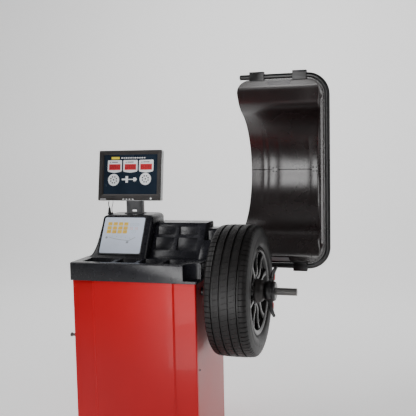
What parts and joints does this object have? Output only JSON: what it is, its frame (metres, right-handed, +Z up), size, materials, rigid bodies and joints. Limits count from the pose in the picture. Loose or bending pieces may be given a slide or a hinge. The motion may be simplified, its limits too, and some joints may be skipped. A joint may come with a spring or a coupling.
{
  "type": "wheel balancing machine",
  "caption": "Floor-standing wheel balancer with a sheet-metal cabinet, weight tray, tilting monitor, spindle carrying a wheel, quick-release nut and a flip-over guard.",
  "frame": {"origin": "on the floor under the middle of the cabinet, below the spindle's axis", "axes": "+X to the right along the spindle, towards its free end; +Y to the back; +Z up"},
  "size_m": [1.174, 1.1761, 1.862],
  "materials": {
    "red_paint": "gloss powder coat",
    "black_moulding": "gloss",
    "hood_plastic": "gloss",
    "black_steel": "semi gloss",
    "frame_steel": "matt primer",
    "bare_steel": "machined",
    "dark_steel": "oiled",
    "cast_nut": "semi gloss",
    "trigger_red": "satin",
    "grey_plastic": "matt",
    "silver_plastic": "satin",
    "black_plastic": "matt",
    "screen_glass": "gloss",
    "keypad_film": "satin",
    "post_grey": "satin",
    "cable_black": "matt",
    "belt_rubber": "matt",
    "tyre_rubber": "matt",
    "rim_alloy": "satin",
    "motor_alloy": "cast",
    "bracket_zinc": "zinc plated",
    "sensor_brass": "satin"
  },
  "bodies": {
    "machine": {"floor_plate": "black_steel", "column_frame": "frame_steel", "flexure_plates": "bare_steel", "spindle_housing": "frame_steel", "bearings": "bare_steel", "piezo_sensors": "sensor_brass", "motor_body": "motor_alloy", "encoder_reader": "black_plastic", "drive_belt": "belt_rubber", "front_panel": "red_paint", "left_panel": "red_paint", "right_panel": "red_paint", "rear_panel": "red_paint", "panel_screws": "dark_steel", "storage_pegs": "bare_steel", "power_inlet": "black_plastic", "circuit_box": "bracket_zinc", "weight_tray": "black_moulding", "pocket_bank": "black_moulding", "console_shell": "black_moulding", "keypad_panel": "keypad_film", "monitor_post": "post_grey", "cable_glands": "black_plastic", "video_cable": "cable_black", "power_cable": "cable_black", "gauge_bush": "black_steel", "hood_bracket": "black_steel", "hood_switch": "grey_plastic"},
    "spindle": {"spindle_shaft": "bare_steel", "spindle_pulley": "motor_alloy", "encoder_disc": "bare_steel", "wheel_flange": "dark_steel", "centring_cone": "bare_steel", "cone_spring": "dark_steel", "rim_barrel": "rim_alloy", "rim_centre": "rim_alloy", "tyre": "tyre_rubber", "valve_stem": "cable_black"},
    "quick_nut": {"nut_body": "cast_nut", "nut_cup": "black_plastic"},
    "trigger_a": {"release_trigger_a": "trigger_red"},
    "trigger_b": {"release_trigger_b": "trigger_red"},
    "rotor": {"motor_rotor": "bare_steel", "motor_pulley": "motor_alloy"},
    "guard": {"hood_tube": "black_steel", "hood_end_plug": "black_plastic", "hood_upper_shell": "hood_plastic", "hood_lower_shell": "hood_plastic", "hood_clips": "black_steel", "hood_edge_plates": "grey_plastic", "hood_joint_plates": "bracket_zinc", "hood_cam": "bare_steel"},
    "gauge": {"gauge_rod": "bare_steel"},
    "gauge_finger": {"gauge_arm": "black_plastic"},
    "monitor": {"monitor_housing": "silver_plastic", "monitor_bezel": "black_plastic", "monitor_screen": "screen_glass", "monitor_bracket": "post_grey"},
    "monitor_key": {"monitor_button": "silver_plastic"},
    "rocker": {"power_switch": "black_plastic"}
  },
  "joints": [
    {"name": "spindle_spin", "type": "hinge", "parent": "machine", "child": "spindle", "pos_m": [0.4, 0, 0.79], "axis": [1, 0, 0], "continuous": true},
    {"name": "motor_spin", "type": "hinge", "parent": "machine", "child": "rotor", "pos_m": [-0.1, 0, 0.52], "axis": [1, 0, 0], "continuous": true},
    {"name": "nut_slide", "type": "slide", "parent": "spindle", "child": "quick_nut", "axis": [1, 0, 0], "range_m": [0, 0.1]},
    {"name": "trigger_a_press", "type": "slide", "parent": "quick_nut", "child": "trigger_a", "axis": [-1, 0, 0], "range_m": [0, 0.004], "stiffness_N_per_m": 1200},
    {"name": "trigger_b_press", "type": "slide", "parent": "quick_nut", "child": "trigger_b", "axis": [-1, 0, 0], "range_m": [0, 0.004], "stiffness_N_per_m": 1200},
    {"name": "guard_swing", "type": "hinge", "parent": "machine", "child": "guard", "pos_m": [0.264, 0.51, 0.825], "axis": [1, 0, 0], "range_deg": [0, 95]},
    {"name": "gauge_slide", "type": "slide", "parent": "machine", "child": "gauge", "axis": [1, 0, 0], "range_m": [0, 0.15]},
    {"name": "gauge_swing", "type": "hinge", "parent": "gauge", "child": "gauge_finger", "pos_m": [0.335, -0.14, 0.807], "axis": [1, 0, 0], "range_deg": [0, 90]},
    {"name": "monitor_tilt", "type": "hinge", "parent": "machine", "child": "monitor", "pos_m": [-0.117, 0.115, 1.34], "axis": [1, 0, 0], "range_deg": [-10, 9], "deforming": ["video_cable", "power_cable"]},
    {"name": "monitor_key_press", "type": "slide", "parent": "monitor", "child": "monitor_key", "axis": [0, 0.9877, -0.1564], "range_m": [0, 0.001], "stiffness_N_per_m": 800},
    {"name": "rocker_tip", "type": "hinge", "parent": "machine", "child": "rocker", "pos_m": [-0.217, 0.213, 0.3], "axis": [1, 0, 0], "range_deg": [0, 14]}
  ],
  "couplings": [
    {"joint": "motor_spin", "follows": "spindle_spin", "ratio": 2.5}
  ]
}
